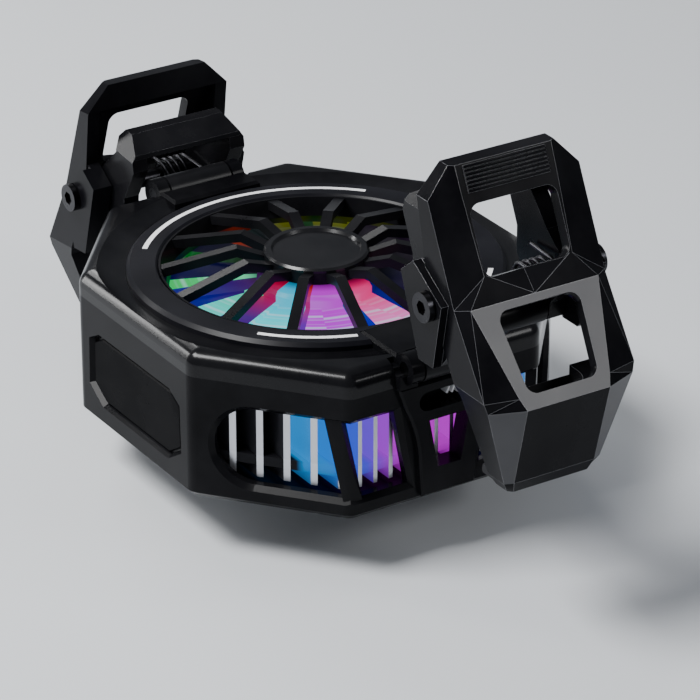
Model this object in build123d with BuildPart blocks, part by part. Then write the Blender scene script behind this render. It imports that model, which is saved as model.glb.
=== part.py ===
"""Clip-on phone cooling fan: an eight-sided body with a fan, a cold plate and two swinging spring clips.

Millimetres, +Z up. The origin is the centre of the face that lies on the phone's back. The clips
stand out along X, and every clip hinge runs along Y. Heights below are measured from the body's
bottom edge, and save() lifts each piece so that the contact face comes to lie at Z = 0.
"""
from build123d import *
import os
from math import asin, atan2, cos, degrees, hypot, pi, radians, sin

os.makedirs("parts", exist_ok=True)

# Body outline
half_x = 32.0
half_y = 29.0
face_y = 14.8
face_x = 14.8
corner_round = 2.3
wall = 1.8
seam_z = 17.9
rim_chamfer = 0.8
fit = 0.05
clear = 0.3
body_half = min(half_x, half_y)

# Top shell and label ring
shell_top = 21.4
shoulder = 2.2
roof_under = 18.9
dish_floor = 20.5
dish_radius = body_half + 1.0
ring_seat = 19.7
ring_top = 21.6
ring_outer = body_half - 3.0
ring_inner = ring_outer - 4.35
roof_hole = ring_outer - 2.4
stripe_radius = ring_outer - 2.1
stripe_width = 0.7
stripe_depth = 0.3

# Grille
spokes = 14
spoke_start = 10.6
spoke_width = 1.5
spoke_deep = 1.3
bend_radius = 10.9
bend_z = 24.0
hub_radius = 7.2
hub_hole = 5.9
hub_ring_z = 21.2
hub_ring_top = 22.9
cap_top = 23.5
grille_rim = ring_inner - 1.15
rim_bottom = 18.8

# Bottom stack
plate_radius = body_half - 9.0
pad_radius = plate_radius - 1.5
pad_bottom = -1.3
plate_bottom = -0.9
flange_radius = plate_radius + 1.8
cover_top = 1.6
flange_top = 2.4
peltier_size = 30.0
peltier_top = 5.2

# Heat sink
sink_inset = 2.2
sink_bottom = 3.4
sink_base_top = 6.6
sink_top = 13.6
fin_pitch = 2.4
fin_thick = 0.6
fins = 23

# Side vents
vent_bottom = 3.0
vent_top = 14.1
vent_start = 3.2
vent_bevel = 0.7
vent_end_top = 7.8
vent_end_bottom = 5.6

# Clip bracket on the body
boss_out = 1.0
slot_z = 15.1
slot_width = 9.6
slot_height = 2.8
link_hinge_x = half_x + 0.6
link_hinge_z = 20.6
plate_end = half_x - 1.4
ledge_start = half_x - 1.9
ledge_end = half_x + 1.2
ledge_bottom = 19.6
bracket_half = 7.0
lug_thick = 1.8
ledge_half = 8.0

# Fan
seat_radius = 9.0
seat_top = 14.6
duct_outer = ring_inner + 0.25
duct_inner = duct_outer - 1.2
duct_top = 18.7
board_outer = ring_outer - 0.6
board_seat = 16.9
blades = 9
blade_tip = duct_inner - 0.5
blade_low = 17.0
rotor_top = 19.6
cup_outer = 8.2
cup_inner = 7.5
cup_bottom = 15.0
shaft_radius = 1.0

# Clips, measured from the lever's hinge: u outwards from the body, v upwards
hinge_x = half_x + 14.3
hinge_z_right = 36.8
hinge_z_left = 16.4
left_lever_turn = 6.0
left_frame_lean = 5.0
link_u = -3.0
link_v = -6.0
pin_radius = 1.2
small_pin = 1.0
barrel = 2.2
frame_half = 9.2
leg_thick = 2.4
lever_wall = 1.9
lever_half = frame_half + 0.4 + lever_wall
through = 4 * lever_half
link_half = 4.9
link_barrel_half = frame_half - leg_thick - clear


def octagon(inset, rounding):
    """The body's eight-sided outline, drawn in by inset, with rounded corners."""
    corners = [
        (half_x, face_y),
        (face_x, half_y),
        (-face_x, half_y),
        (-half_x, face_y),
        (-half_x, -face_y),
        (-face_x, -half_y),
        (face_x, -half_y),
        (half_x, -face_y),
    ]
    with BuildSketch() as drawn:
        with BuildLine():
            Polyline(*corners, close=True)
        make_face()
        if inset:
            offset(amount=-inset, kind=Kind.INTERSECTION)
        fillet(drawn.vertices(), radius=rounding)
    return drawn.sketch


def ring_sketch(outer, inner):
    """A flat ring round the fan's axis."""
    with BuildSketch() as drawn:
        Circle(outer)
        Circle(inner, mode=Mode.SUBTRACT)
    return drawn.sketch


def mirrored(part):
    """The same piece on the other side of the body, along X."""
    return mirror(part, about=Plane.YZ, mode=Mode.PRIVATE)


def turned_back(part):
    """The same piece on the back of the body, along Y."""
    return mirror(part, about=Plane.XZ, mode=Mode.PRIVATE)


def four_ways(part):
    """The same cutter at all four corners of the body."""
    across = part + turned_back(part)
    return across + mirrored(across)


def save(part, name):
    """Lifts a piece onto the contact face's plane, labels it and writes it as its own STEP file."""
    placed = part.moved(Location((0, 0, -pad_bottom)))
    placed.label = name
    export_step(placed, f"parts/{name}.step")


# The slanting face between the front and the right of the body
slant = hypot(half_x - face_x, half_y - face_y)
slant_along = ((half_x - face_x) / slant, (half_y - face_y) / slant, 0)
slant_out = ((half_y - face_y) / slant, -(half_x - face_x) / slant, 0)
slant_plane = Plane(
    origin=((half_x + face_x) / 2, -(half_y + face_y) / 2, 0), x_dir=slant_along, z_dir=slant_out
)
right_plane = Plane(origin=(half_x, 0, 0), x_dir=(0, 1, 0), z_dir=(1, 0, 0))
front_plane = Plane(origin=(0, -half_y, 0), x_dir=(1, 0, 0), z_dir=(0, -1, 0))

vent_middle = (vent_bottom + vent_top) / 2
vent_radius = (vent_top - vent_bottom) / 2
vent_left = -slant / 2 + vent_start + vent_radius


def slant_vent(grow):
    """The vent's outline on the slanting face, open towards the corner."""
    reach = slant / 2 + 2.0
    with BuildSketch() as drawn:
        with Locations(((vent_left + reach) / 2, vent_middle)):
            Rectangle(reach - vent_left, 2 * (vent_radius + grow))
        with Locations((vent_left, vent_middle)):
            Circle(vent_radius + grow)
    return drawn.sketch


def side_vent(grow):
    """The vent's outline on the right face, from the corner to the clip bracket."""
    low = vent_bottom - grow
    high = vent_top + grow
    with BuildSketch() as drawn:
        with BuildLine():
            Polyline(
                (-face_y - 2.0, low),
                (-vent_end_bottom + grow, low),
                (-vent_end_top + grow, high),
                (-face_y - 2.0, high),
                close=True,
            )
        make_face()
    return drawn.sketch


# Cutter for one corner vent, with its bevelled lip
with BuildPart() as vent_cutter:
    with BuildSketch(slant_plane):
        add(slant_vent(0))
    extrude(amount=3.4, both=True)
    with BuildSketch(slant_plane):
        add(slant_vent(vent_bevel))
    extrude(amount=-vent_bevel, taper=45)
    with BuildSketch(right_plane):
        add(side_vent(0))
    extrude(amount=3.0, both=True)
    with BuildSketch(right_plane):
        add(side_vent(vent_bevel))
    extrude(amount=-vent_bevel, taper=45)

# Slanting strut across the corner of each vent
with BuildPart() as corner_strut:
    with BuildSketch(slant_plane):
        with BuildLine():
            Polyline(
                (7.3, vent_top + 0.6),
                (9.6, vent_top + 0.6),
                (12.2, vent_bottom - 0.6),
                (10.0, vent_bottom - 0.6),
                close=True,
            )
        make_face()
    extrude(amount=-wall)
    with BuildSketch(Plane.XY):
        add(octagon(0.35, corner_round))
    extrude(amount=seam_z, mode=Mode.INTERSECT)

# Clip bracket boss on the lower housing
with BuildPart() as side_boss:
    with BuildSketch(right_plane):
        with BuildLine():
            edge_low = Line((4.2, 1.0), (4.6, 6.0))
            edge_mid = ThreePointArc((4.6, 6.0), (5.2, 10.3), (6.8, 14.5))
            edge_top = Line((6.8, 14.5), (ledge_half, seam_z))
            Line((ledge_half, seam_z), (-ledge_half, seam_z))
            Line((-ledge_half, seam_z), (-6.8, 14.5))
            ThreePointArc((-6.8, 14.5), (-5.2, 10.3), (-4.6, 6.0))
            Line((-4.6, 6.0), (-4.2, 1.0))
            Line((-4.2, 1.0), (4.2, 1.0))
        make_face()
    extrude(amount=boss_out)
    extrude(side_boss.faces().sort_by(Axis.X)[0], amount=wall)
    chamfer(side_boss.faces().sort_by(Axis.X)[-1].edges().filter_by(GeomType.LINE), length=0.3)

# Openings in the bracket boss: a long slot and a keystone vent below it
with BuildPart() as boss_cutter:
    with BuildSketch(right_plane):
        with Locations((0, slot_z)):
            SlotOverall(slot_width, slot_height)
        with BuildLine():
            Polyline((-3.2, 12.2), (3.2, 12.2), (1.8, 5.0), (-1.8, 5.0), close=True)
        make_face()
    extrude(amount=wall + 1.2, both=True)

# Screw places in the bottom
screw_x = face_x - 4.0
screw_y = half_y - 3.6
screw_length = 6.5
screw_spots = [(screw_x, screw_y), (-screw_x, screw_y), (screw_x, -screw_y), (-screw_x, -screw_y)]

# The control board and its two posts, between the sink and the back wall
post_y = half_y - 5.4
board_y = half_y - 8.7
sink_front = half_y - 6.6
sink_back = half_y - 9.2

panel_outline = [
    (-12.4, 5.4),
    (-12.2, 12.4),
    (-9.5, 13.9),
    (9.5, 13.9),
    (12.2, 12.4),
    (12.4, 5.4),
    (8.8, 3.1),
    (-8.8, 3.1),
]
socket_z = 7.6


def panel_shape(shrink):
    """The outline of the inset panel on the front and back faces."""
    with BuildSketch() as drawn:
        with BuildLine():
            Polyline(*panel_outline, close=True)
        make_face()
        if shrink:
            offset(amount=-shrink, kind=Kind.INTERSECTION)
    return drawn.sketch


with BuildPart() as panel_recess:
    with BuildSketch(front_plane):
        add(panel_shape(0))
    extrude(amount=-0.9, taper=30)

# Lower housing
with BuildPart() as lower_housing:
    with BuildSketch(Plane.XY):
        add(octagon(0, corner_round))
    extrude(amount=seam_z)
    chamfer(lower_housing.faces().sort_by(Axis.Z)[0].edges(), length=rim_chamfer)
    with BuildSketch(Plane.XY):
        add(octagon(wall, corner_round - wall))
    extrude(amount=seam_z, mode=Mode.SUBTRACT)
    with BuildSketch(Plane.XY.offset(cover_top)):
        with Locations(*screw_spots):
            Circle(2.2)
    extrude(amount=sink_top - cover_top)
    add(side_boss.part + mirrored(side_boss.part))
    add(four_ways(vent_cutter.part), mode=Mode.SUBTRACT)
    add(four_ways(corner_strut.part))
    add(boss_cutter.part + mirrored(boss_cutter.part), mode=Mode.SUBTRACT)
    add(panel_recess.part + turned_back(panel_recess.part), mode=Mode.SUBTRACT)
    with BuildSketch(Plane.XY.offset(cover_top)):
        with Locations(*screw_spots):
            Circle(1.05)
    extrude(amount=screw_length + 1.5, mode=Mode.SUBTRACT)
    with BuildSketch(Plane(origin=(0, half_y, 0), x_dir=(-1, 0, 0), z_dir=(0, 1, 0))):
        with Locations((0, socket_z)):
            SlotOverall(9.3, 3.6)
    extrude(amount=-wall - 0.2, mode=Mode.SUBTRACT)
save(lower_housing.part, "lower_housing")

# Inset panels on the front and back faces
with BuildPart() as side_panel_front:
    with BuildSketch(front_plane.offset(-0.9)):
        add(panel_shape(0.75))
    extrude(amount=0.5)
    chamfer(side_panel_front.faces().sort_by(Axis.Y)[0].edges(), length=0.2)
save(side_panel_front.part, "side_panel_front")

with BuildPart() as side_panel_back:
    add(turned_back(side_panel_front.part))
    with BuildSketch(Plane(origin=(0, half_y, 0), x_dir=(-1, 0, 0), z_dir=(0, 1, 0))):
        with Locations((0, socket_z)):
            SlotOverall(9.3, 3.6)
    extrude(amount=-wall, mode=Mode.SUBTRACT)
save(side_panel_back.part, "side_panel_back")

# Bottom cover with two posts for the control board
board_bottom = 5.0
with BuildPart() as bottom_cover:
    with BuildSketch(Plane.XY):
        add(octagon(wall + 0.1, 0.4))
    extrude(amount=cover_top)
    with BuildSketch(Plane.XY):
        Circle(plate_radius + 0.1)
    extrude(amount=cover_top, mode=Mode.SUBTRACT)
    with BuildSketch(Plane.XY.offset(cover_top)):
        with Locations((6.0, post_y), (-6.0, post_y)):
            Circle(1.5)
    extrude(amount=board_bottom - cover_top)
    with Locations(*[(x, y, 0) for x, y in screw_spots]):
        with Locations(Rotation(180, 0, 0)):
            CounterSinkHole(radius=1.05, counter_sink_radius=1.9, depth=cover_top)
save(bottom_cover.part, "bottom_cover")

# Four countersunk screws
with BuildPart() as bottom_screws:
    with Locations(*[(x, y, 0) for x, y in screw_spots]):
        Cylinder(1.0, screw_length, align=(Align.CENTER, Align.CENTER, Align.MIN))
        Cone(1.8, 1.0, 0.8, align=(Align.CENTER, Align.CENTER, Align.MIN))
    with Locations(*[(x, y, 0) for x, y in screw_spots]):
        Box(1.9, 0.4, 0.35, align=(Align.CENTER, Align.CENTER, Align.MIN), mode=Mode.SUBTRACT)
        Box(0.4, 1.9, 0.35, align=(Align.CENTER, Align.CENTER, Align.MIN), mode=Mode.SUBTRACT)
save(bottom_screws.part, "bottom_screws")

# Cold plate and the soft pad that meets the phone
with BuildPart() as cold_plate:
    with BuildSketch(Plane.XY.offset(plate_bottom)):
        Circle(plate_radius)
    extrude(amount=flange_top - plate_bottom)
    with BuildSketch(Plane.XY.offset(cover_top)):
        Circle(flange_radius)
    extrude(amount=flange_top - cover_top)
save(cold_plate.part, "cold_plate")

with BuildPart() as contact_pad:
    with BuildSketch(Plane.XY.offset(pad_bottom)):
        Circle(pad_radius)
    extrude(amount=plate_bottom - pad_bottom)
save(contact_pad.part, "contact_pad")

# Thermoelectric module: two plates with rows of legs between them
with BuildPart() as peltier_module:
    with BuildSketch(Plane.XY.offset(flange_top), Plane.XY.offset(peltier_top - 0.7)):
        Rectangle(peltier_size, peltier_size)
    extrude(amount=0.7)
    with BuildSketch(Plane.XY.offset(flange_top)):
        with GridLocations(4.6, 4.6, 6, 6):
            Rectangle(1.8, 1.8)
    extrude(amount=peltier_top - flange_top)
save(peltier_module.part, "peltier_module")

# Heat sink: a base with fins that run along X
with BuildPart() as heat_sink:
    with BuildSketch(Plane.XY.offset(peltier_top)):
        add(octagon(sink_inset, 0.4))
    extrude(amount=sink_base_top - peltier_top)
    with BuildSketch(Plane.XY.offset(sink_bottom)) as fin_rows:
        with GridLocations(1, fin_pitch, 1, fins):
            Rectangle(2 * half_x, fin_thick)
        add(octagon(sink_inset, 0.4), mode=Mode.INTERSECT)
    extrude(amount=sink_top - sink_bottom)
    Box(
        peltier_size + 0.6,
        peltier_size + 0.6,
        peltier_top,
        align=(Align.CENTER, Align.CENTER, Align.MIN),
        mode=Mode.SUBTRACT,
    )
    with Locations((0, half_y, 0), (0, -half_y, 0)):
        Box(27.6, 2 * (half_y - sink_front), 2 * sink_top, mode=Mode.SUBTRACT)
    with Locations((0, half_y, 0)):
        Box(18.4, 2 * (half_y - sink_back), 2 * sink_top, mode=Mode.SUBTRACT)
save(heat_sink.part, "heat_sink")

# Control board with two chips
with BuildPart() as control_board:
    with Locations((0, board_y, board_bottom)):
        Box(16.4, 6.7, 1.0, align=(Align.CENTER, Align.MIN, Align.MIN))
    with Locations((-6.4, board_y + 1.3, board_bottom + 1.0), (6.4, board_y + 1.3, board_bottom + 1.0)):
        Box(2.6, 2.2, 0.8, align=(Align.CENTER, Align.CENTER, Align.MIN))
save(control_board.part, "control_board")

# Power socket in the back face
with BuildPart() as usb_socket:
    with BuildSketch(Plane(origin=(0, half_y, 0), x_dir=(-1, 0, 0), z_dir=(0, 1, 0))):
        with Locations((0, socket_z)):
            SlotOverall(9.0, 3.2)
    extrude(amount=-7.3)
    with BuildSketch(Plane(origin=(0, half_y, 0), x_dir=(-1, 0, 0), z_dir=(0, 1, 0))):
        with Locations((0, socket_z)):
            SlotOverall(8.34, 2.56)
    extrude(amount=-6.2, mode=Mode.SUBTRACT)
    with Locations((0, half_y - 0.7, socket_z)):
        Box(6.7, 5.6, 0.7, align=(Align.CENTER, Align.MAX, Align.CENTER))
save(usb_socket.part, "usb_socket")

# Fan frame: motor seat, three struts, and a duct with a flange for the light board
with BuildPart() as fan_frame:
    with BuildSketch(Plane.XY.offset(sink_top)):
        Circle(seat_radius)
        with PolarLocations(seat_radius - 1.0 + (duct_outer - seat_radius) / 2, 3, start_angle=90):
            Rectangle(duct_outer - seat_radius + 0.8, 2.4)
    extrude(amount=seat_top - sink_top)
    with BuildSketch(Plane.XY.offset(sink_top)):
        add(ring_sketch(duct_outer, duct_inner))
    extrude(amount=duct_top - sink_top)
    with BuildSketch(Plane.XY.offset(board_seat - 0.4)):
        add(ring_sketch(board_outer, duct_inner + 0.2))
    extrude(amount=0.4)
    with BuildSketch(Plane.XY.offset(seat_top)):
        add(ring_sketch(3.0, 2.0))
    extrude(amount=3.0)
    with BuildSketch(Plane.XY.offset(sink_top + 0.4)):
        Circle(2.0)
    extrude(amount=2.0, mode=Mode.SUBTRACT)
save(fan_frame.part, "fan_frame")

# Motor: bearing, coils, magnet ring and shaft
with BuildPart() as shaft_bearing:
    with BuildSketch(Plane.XY.offset(sink_top + 0.4)):
        add(ring_sketch(2.0, shaft_radius + 0.03))
    extrude(amount=4.2)
save(shaft_bearing.part, "shaft_bearing")

with BuildPart() as stator_coils:
    with BuildSketch(Plane.XY.offset(seat_top)):
        add(ring_sketch(4.2, 3.0))
        with PolarLocations(4.9, 6):
            Rectangle(2.4, 1.6)
    extrude(amount=3.0)
    with BuildSketch(Plane.XY.offset(seat_top + 0.5)):
        with PolarLocations(5.0, 6):
            Rectangle(1.4, 3.0)
    extrude(amount=2.0)
save(stator_coils.part, "stator_coils")

with BuildPart() as fan_shaft:
    with BuildSketch(Plane.XY.offset(sink_top + 0.6)):
        Circle(shaft_radius)
    extrude(amount=rotor_top - 0.3 - sink_top - 0.6)
    chamfer(fan_shaft.edges().sort_by(Axis.Z)[0], length=0.2)
save(fan_shaft.part, "fan_shaft")

with BuildPart() as rotor_magnet:
    with BuildSketch(Plane.XY.offset(cup_bottom)):
        add(ring_sketch(cup_inner, 6.9))
    extrude(amount=3.0)
save(rotor_magnet.part, "rotor_magnet")


def blade_section(radius, lag, chord, low, high, thick):
    """A slanting strip square to the blade's length, as four corners."""
    with BuildSketch(Plane(origin=(radius, 0, 0), x_dir=(0, 1, 0), z_dir=(1, 0, 0))) as drawn:
        with BuildLine():
            Polyline(
                (lag, low),
                (lag + thick, low),
                (lag + chord, high),
                (lag + chord - thick, high),
                close=True,
            )
        make_face()
    return drawn.sketch


# One swept and pitched blade
blade_middle = (cup_outer + blade_tip) / 2 - 0.2
with BuildPart() as fan_blade:
    add(blade_section(cup_outer - 0.5, -2.2, 4.4, blade_low, rotor_top, 1.1))
    add(blade_section(blade_middle, -1.2, 5.8, blade_low, rotor_top, 1.1))
    loft(ruled=True)
with BuildPart() as fan_blade_tip:
    add(blade_section(blade_middle, -1.2, 5.8, blade_low, rotor_top, 1.1))
    add(blade_section(blade_tip + 0.6, 1.8, 7.4, blade_low, rotor_top, 1.1))
    loft(ruled=True)

# Fan rotor
with BuildPart() as fan_rotor:
    with PolarLocations(0, blades):
        add(fan_blade.part + fan_blade_tip.part)
    with BuildSketch(Plane.XY.offset(blade_low)):
        Circle(blade_tip)
    extrude(amount=rotor_top - blade_low, mode=Mode.INTERSECT)
    with BuildSketch(Plane.XY.offset(cup_bottom)):
        Circle(cup_outer)
    extrude(amount=rotor_top - cup_bottom)
    fillet(fan_rotor.edges().filter_by(GeomType.CIRCLE).sort_by(Axis.Z)[-1], radius=0.5)
    with BuildSketch(Plane.XY.offset(cup_bottom)):
        Circle(cup_inner)
    extrude(amount=rotor_top - 1.0 - cup_bottom, mode=Mode.SUBTRACT)
    with BuildSketch(Plane.XY.offset(cup_bottom)):
        Circle(shaft_radius)
    extrude(amount=rotor_top - 0.3 - cup_bottom, mode=Mode.SUBTRACT)
save(fan_rotor.part, "fan_rotor")

# Light board round the duct, with its row of light chips
chips = 16
with BuildPart() as led_board:
    with BuildSketch(Plane.XY.offset(board_seat)):
        add(ring_sketch(board_outer, duct_outer + 0.1))
    extrude(amount=0.7)
save(led_board.part, "led_board")

with BuildPart() as led_chips:
    with BuildSketch(Plane.XY.offset(board_seat + 0.7)):
        with PolarLocations(board_outer - 2.0, chips):
            Rectangle(1.2, 1.8)
    extrude(amount=0.7)
save(led_chips.part, "led_chips")


room_end = half_x + 4.0


def bracket_room(inner, grow):
    """The space that a clip bracket takes out of the top shell on the right."""
    with BuildPart() as room:
        with BuildSketch(Plane.XY.offset(dish_floor)):
            with Locations(((inner + room_end) / 2, 0)):
                Rectangle(room_end - inner, 2 * (bracket_half + grow))
        extrude(amount=4.0)
        with BuildSketch(Plane.XY.offset(ledge_bottom)):
            with Locations(((ledge_start - 0.1 + room_end) / 2, 0)):
                Rectangle(room_end - ledge_start + 0.1, 2 * (ledge_half + grow))
        extrude(amount=4.0)
    return room.part


right_inner = ring_inner + 0.25
left_inner = ring_outer + 0.3

# Barrel room for the link hinge, open upwards and outwards
with BuildPart() as hinge_room:
    with Locations((link_hinge_x, 0, link_hinge_z)):
        Cylinder(barrel + clear, 2 * (link_half + clear), rotation=(90, 0, 0))
    with Locations((link_hinge_x, 0, link_hinge_z)):
        Box(
            2 * (barrel + clear),
            2 * (link_half + clear),
            5.0,
            align=(Align.CENTER, Align.CENTER, Align.MIN),
        )
    with Locations((half_x + fit, 0, seam_z)):
        Box(4.0, 2 * (link_half + clear), 4.0, align=(Align.MIN, Align.CENTER, Align.MIN))

# Room for the bracket's lugs
with BuildPart() as lug_room:
    with Locations((link_hinge_x, 0, link_hinge_z)):
        Cylinder(barrel + fit, 2 * (link_half + clear + lug_thick + fit), rotation=(90, 0, 0))

# Top shell: soft shoulders, then a dish down to the label ring
dish_middle = ((dish_radius + ring_outer) / 2, dish_floor + 0.22)
with BuildPart() as top_shell:
    with BuildSketch(Plane.XY.offset(seam_z)):
        add(octagon(0, corner_round))
    extrude(amount=shell_top - seam_z)
    fillet(top_shell.faces().sort_by(Axis.Z)[-1].edges(), radius=shoulder)
    with BuildSketch(Plane.XZ):
        with BuildLine():
            Line((0, 25.0), (dish_radius, 25.0))
            Line((dish_radius, 25.0), (dish_radius, shell_top))
            ThreePointArc((dish_radius, shell_top), dish_middle, (ring_outer, dish_floor))
            Line((ring_outer, dish_floor), (0, dish_floor))
            Line((0, dish_floor), (0, 25.0))
        make_face()
    revolve(axis=Axis.Z, mode=Mode.SUBTRACT)
    with BuildSketch(Plane.XY.offset(ring_seat)):
        Circle(ring_outer + fit)
    extrude(amount=3.0, mode=Mode.SUBTRACT)
    with BuildSketch(Plane.XY.offset(seam_z)):
        Circle(roof_hole)
    extrude(amount=5.0, mode=Mode.SUBTRACT)
    with BuildSketch(Plane.XY.offset(seam_z)):
        add(octagon(wall, corner_round - wall))
    extrude(amount=roof_under - seam_z, mode=Mode.SUBTRACT)
    add(bracket_room(right_inner, fit), mode=Mode.SUBTRACT)
    add(mirrored(bracket_room(left_inner, fit)), mode=Mode.SUBTRACT)
    add(hinge_room.part + mirrored(hinge_room.part), mode=Mode.SUBTRACT)
    add(lug_room.part + mirrored(lug_room.part), mode=Mode.SUBTRACT)
save(top_shell.part, "top_shell")

# Where the ring's stripes start and how far they run, in degrees
stripe_gap = degrees(asin((bracket_half + 0.78) / stripe_radius))
stripes = [(-stripe_gap - 32.0, 32.0), (stripe_gap, 32.0), (131.0, 98.0)]

with BuildPart() as stripe_form:
    with BuildSketch(Plane.XY.offset(ring_top - stripe_depth)):
        for start, arc in stripes:
            with BuildLine():
                CenterArc((0, 0), stripe_radius + stripe_width / 2, start, arc)
                CenterArc((0, 0), stripe_radius - stripe_width / 2, start, arc)
                for angle in (radians(start), radians(start + arc)):
                    Line(
                        (
                            (stripe_radius - stripe_width / 2) * cos(angle),
                            (stripe_radius - stripe_width / 2) * sin(angle),
                        ),
                        (
                            (stripe_radius + stripe_width / 2) * cos(angle),
                            (stripe_radius + stripe_width / 2) * sin(angle),
                        ),
                    )
            make_face()
    extrude(amount=stripe_depth)

# Label ring with grooves for the stripes
with BuildPart() as label_ring:
    with BuildSketch(Plane.XZ):
        with BuildLine():
            Polyline(
                (ring_inner, ring_seat),
                (ring_outer, ring_seat),
                (ring_outer, ring_top - 0.5),
                (ring_outer - 0.5, ring_top),
                (ring_inner + 0.35, ring_top),
                (ring_inner, ring_top - 0.35),
                close=True,
            )
        make_face()
    revolve(axis=Axis.Z)
    add(stripe_form.part, mode=Mode.SUBTRACT)
    add(bracket_room(right_inner, fit), mode=Mode.SUBTRACT)
save(label_ring.part, "label_ring")

with BuildPart() as ring_stripes:
    add(stripe_form.part)
save(ring_stripes.part, "ring_stripes")

# One bent spoke, from under the rim up to its bend and down to the hub
spoke_top = [(ring_inner - 0.45, 21.3), (bend_radius, bend_z), (hub_radius - 0.6, hub_ring_top - 0.3)]
with BuildPart() as spoke:
    with BuildSketch(Plane.XZ):
        with BuildLine():
            Polyline(*spoke_top, *[(r, z - spoke_deep) for r, z in reversed(spoke_top)], close=True)
        make_face()
    extrude(amount=spoke_width / 2, both=True)

# Grille: rim, bent spokes and hub ring in one moulding
with BuildPart() as grille:
    with BuildSketch(Plane.XZ):
        with BuildLine():
            Polyline(
                (grille_rim, rim_bottom),
                (roof_hole - 0.2, rim_bottom),
                (roof_hole - 0.2, ring_seat),
                (ring_inner - fit, ring_seat),
                (ring_inner - fit, ring_top - 0.2),
                (ring_inner - 0.35, ring_top - 0.2),
                close=True,
            )
        make_face()
    revolve(axis=Axis.Z)
    with BuildSketch(Plane.XY.offset(hub_ring_z)):
        add(ring_sketch(hub_radius, hub_hole))
    extrude(amount=hub_ring_top - hub_ring_z)
    with PolarLocations(0, spokes, start_angle=spoke_start):
        add(spoke.part)
save(grille.part, "grille")

# Hub cap: a plug with a raised rim round a flat face
with BuildPart() as hub_cap:
    with BuildSketch(Plane.XZ):
        with BuildLine():
            Polyline(
                (0, hub_ring_z + 0.2),
                (hub_hole - fit, hub_ring_z + 0.2),
                (hub_hole - fit, hub_ring_top),
                (hub_radius, hub_ring_top),
                (hub_radius, cap_top - 0.3),
                (hub_radius - 0.3, cap_top),
                (hub_radius - 1.0, cap_top),
                (hub_radius - 1.3, cap_top - 0.4),
                (0, cap_top - 0.4),
                close=True,
            )
        make_face()
    revolve(axis=Axis.Z)
save(hub_cap.part, "hub_cap")


def bracket(inner):
    """A clip bracket: a plate on the top shell, a ledge, a skirt and two hinge lugs."""
    with BuildPart() as made:
        with BuildSketch(Plane.XY.offset(dish_floor)):
            with Locations(((inner + plate_end) / 2, 0)):
                Rectangle(plate_end - inner, 2 * bracket_half)
        extrude(amount=21.8 - dish_floor)
        chamfer(made.faces().sort_by(Axis.Z)[-1].edges(), length=0.4)
        with BuildSketch(Plane.XY.offset(ledge_bottom)):
            with Locations(((ledge_start + ledge_end) / 2, 0)):
                Rectangle(ledge_end - ledge_start, 2 * ledge_half)
        extrude(amount=1.0)
        with BuildSketch(Plane.XY.offset(seam_z)):
            with Locations(((half_x + fit + ledge_end) / 2, 0)):
                Rectangle(ledge_end - half_x - fit, 2 * ledge_half)
        extrude(amount=ledge_bottom - seam_z)
        for side in (1, -1):
            with Locations((link_hinge_x, side * (link_half + clear), link_hinge_z)):
                Cylinder(
                    barrel,
                    lug_thick,
                    rotation=(-90 * side, 0, 0),
                    align=(Align.CENTER, Align.CENTER, Align.MIN),
                )
        with Locations((link_hinge_x, 0, link_hinge_z)):
            Cylinder(small_pin, 2 * link_half + 10.0, rotation=(90, 0, 0), mode=Mode.SUBTRACT)
        add(hinge_room.part, mode=Mode.SUBTRACT)
    return made.part


with BuildPart() as bracket_right:
    add(bracket(right_inner))
save(bracket_right.part, "bracket_right")

with BuildPart() as bracket_left:
    add(mirrored(bracket(left_inner)))
save(bracket_left.part, "bracket_left")


# Stations down the clip lever: height, front and how far it stops short of the lever's half width,
# side and how far it stops short, back
lever_stations = [
    (17.0, -2.3, 4.2, -2.8, 3.5, -4.6),
    (13.3, -0.6, 4.3, -1.9, 0.0, -4.4),
    (4.0, 3.755, 4.8, 2.6, 0.0, -2.26),
    (0.7, 5.3, 1.8, 4.2, 0.0, -1.5),
    (-9.4, 12.2, 4.6, 11.1, 0.0, 4.4),
    (-10.8, 13.2, 5.2, 11.4, 0.4, 5.4),
    (-22.3, 10.4, 5.3, 9.9, 4.1, 6.4),
    (-24.0, 9.6, 5.8, 9.0, 5.2, 6.6),
]


def station(values, skin, open_back):
    """Six corners of one level section of the lever, drawn in by skin on its front and sides."""
    height, front, front_short, side, side_short, back = values
    front_half = lever_half - front_short
    side_half = lever_half - side_short
    tail = back - 6.0 if open_back else back
    half = [
        Vector(front - skin, front_half - skin * 0.6, height),
        Vector(side - skin * 0.6, side_half - skin, height),
        Vector(tail, side_half - skin, height),
    ]
    return half + [Vector(corner.X, -corner.Y, corner.Z) for corner in reversed(half)]


def facet(*corners):
    """A flat face between corners."""
    return Face(Wire.make_polygon(corners))


def lever_body(first, last, skin, open_back):
    """The lever's form between two stations, flat facets throughout, with a crease down each chamfer."""
    pieces = None
    for upper, lower in zip(lever_stations[first:last], lever_stations[first + 1 : last + 1]):
        top = station(upper, skin, open_back)
        low = station(lower, skin, open_back)
        faces = [
            facet(*top),
            facet(*low),
            facet(top[0], top[5], low[5], low[0]),
            facet(top[2], top[3], low[3], low[2]),
            facet(top[1], top[2], low[2], low[1]),
            facet(top[4], top[3], low[3], low[4]),
            facet(top[0], top[1], low[1]),
            facet(top[0], low[0], low[1]),
            facet(top[5], top[4], low[4]),
            facet(top[5], low[5], low[4]),
        ]
        piece = Solid(Shell(faces))
        pieces = piece if pieces is None else pieces + piece
    return pieces


def side_shape(points, low, high):
    """A flat plate in the clip's side view, between two places across it."""
    with BuildPart() as made:
        with BuildSketch(Plane.XZ.offset(-low)):
            with BuildLine():
                Polyline(*points, close=True)
            make_face()
        extrude(amount=low - high)
    return made.part


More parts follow.
